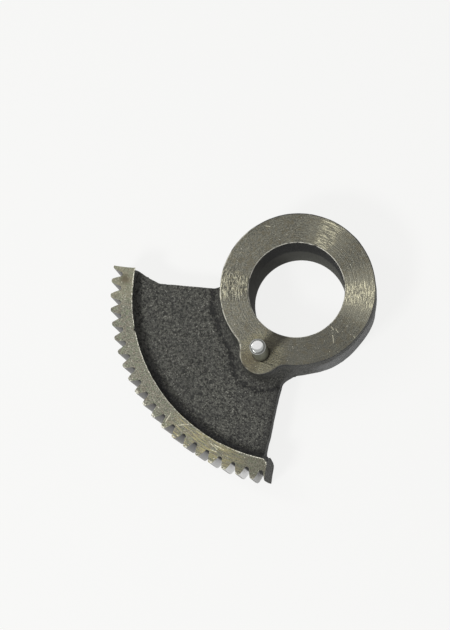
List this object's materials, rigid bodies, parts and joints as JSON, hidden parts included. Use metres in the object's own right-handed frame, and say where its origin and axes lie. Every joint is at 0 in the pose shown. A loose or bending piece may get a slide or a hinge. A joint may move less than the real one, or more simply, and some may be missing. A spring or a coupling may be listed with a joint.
{
  "type": "sector gear",
  "caption": "Cast-iron sector gear with a bored hub, a recessed web, a toothed quarter rim and a steel dowel pin standing proud of an ear on the hub.",
  "frame": {"origin": "on the bore axis at the back face", "axes": "+Z along the bore towards the face with the dowel; the rim's first end runs along -X and the sector turns from there towards -Y"},
  "size_m": [0.1017, 0.1016, 0.045],
  "materials": {
    "cast_iron": "dark sand-cast iron; the hub's front face, the rim's lands, the bore and the teeth are machined bare",
    "dowel_steel": "bright ground steel with chamfered ends"
  },
  "bodies": {
    "root": {"sector_casting": "cast_iron", "dowel_pin": "dowel_steel"}
  },
  "joints": []
}
